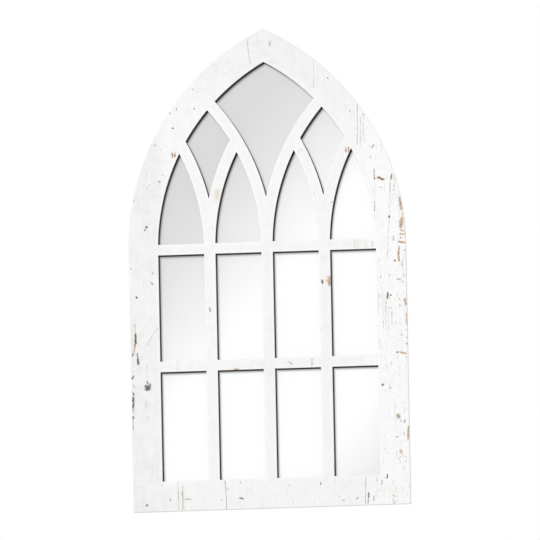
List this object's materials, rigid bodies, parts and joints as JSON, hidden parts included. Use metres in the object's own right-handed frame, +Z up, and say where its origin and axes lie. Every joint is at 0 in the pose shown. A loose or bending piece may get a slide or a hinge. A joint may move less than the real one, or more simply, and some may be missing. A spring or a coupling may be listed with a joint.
{
  "type": "arched window mirror",
  "caption": "Wall mirror with a pointed arch outline, its mirror sheet seen through a white distressed face cut like a Gothic tracery window, hung by rings at the back.",
  "frame": {"origin": "on the wall plane, midway between the two wall hooks, at the height where the hooks carry the rings", "axes": "+Z up the mirror, +X to the right seen from the front, +Y towards the wall, so the face looks along -Y"},
  "size_m": [0.6604, 0.032, 1.143],
  "materials": {
    "distressed_white": "distressed white paint on machined fibreboard",
    "mirror": "silvered float glass",
    "foam": "closed-cell foam tape",
    "batten": "raw fibreboard strip",
    "board": "smooth hardboard",
    "zinc_screw": "zinc plated",
    "zinc_strap": "zinc plated",
    "zinc_ring": "zinc plated wire",
    "bumper": "soft rubber"
  },
  "bodies": {
    "mirror_body": {"face_panel": "distressed_white", "mirror_glass": "mirror", "mirror_foam_strips": "foam", "left_batten": "batten", "right_batten": "batten", "bottom_batten": "batten", "left_arch_batten": "batten", "right_arch_batten": "batten", "backing_board": "board", "backing_screws": "zinc_screw", "left_hanger_strap": "zinc_strap", "right_hanger_strap": "zinc_strap", "left_hanger_screws": "zinc_screw", "right_hanger_screws": "zinc_screw", "lower_left_bumper": "bumper", "lower_right_bumper": "bumper", "upper_left_bumper": "bumper", "upper_right_bumper": "bumper"},
    "left_ring": {"left_hanger_ring": "zinc_ring"},
    "right_ring": {"right_hanger_ring": "zinc_ring"}
  },
  "joints": [
    {"name": "left_ring_swing", "type": "hinge", "parent": "mirror_body", "child": "left_ring", "pos_m": [-0.28215, -0.0032, -0.0185], "axis": [1, 0, 0], "range_deg": [0, 180]},
    {"name": "right_ring_swing", "type": "hinge", "parent": "mirror_body", "child": "right_ring", "pos_m": [0.28215, -0.0032, -0.0185], "axis": [1, 0, 0], "range_deg": [0, 180]}
  ]
}
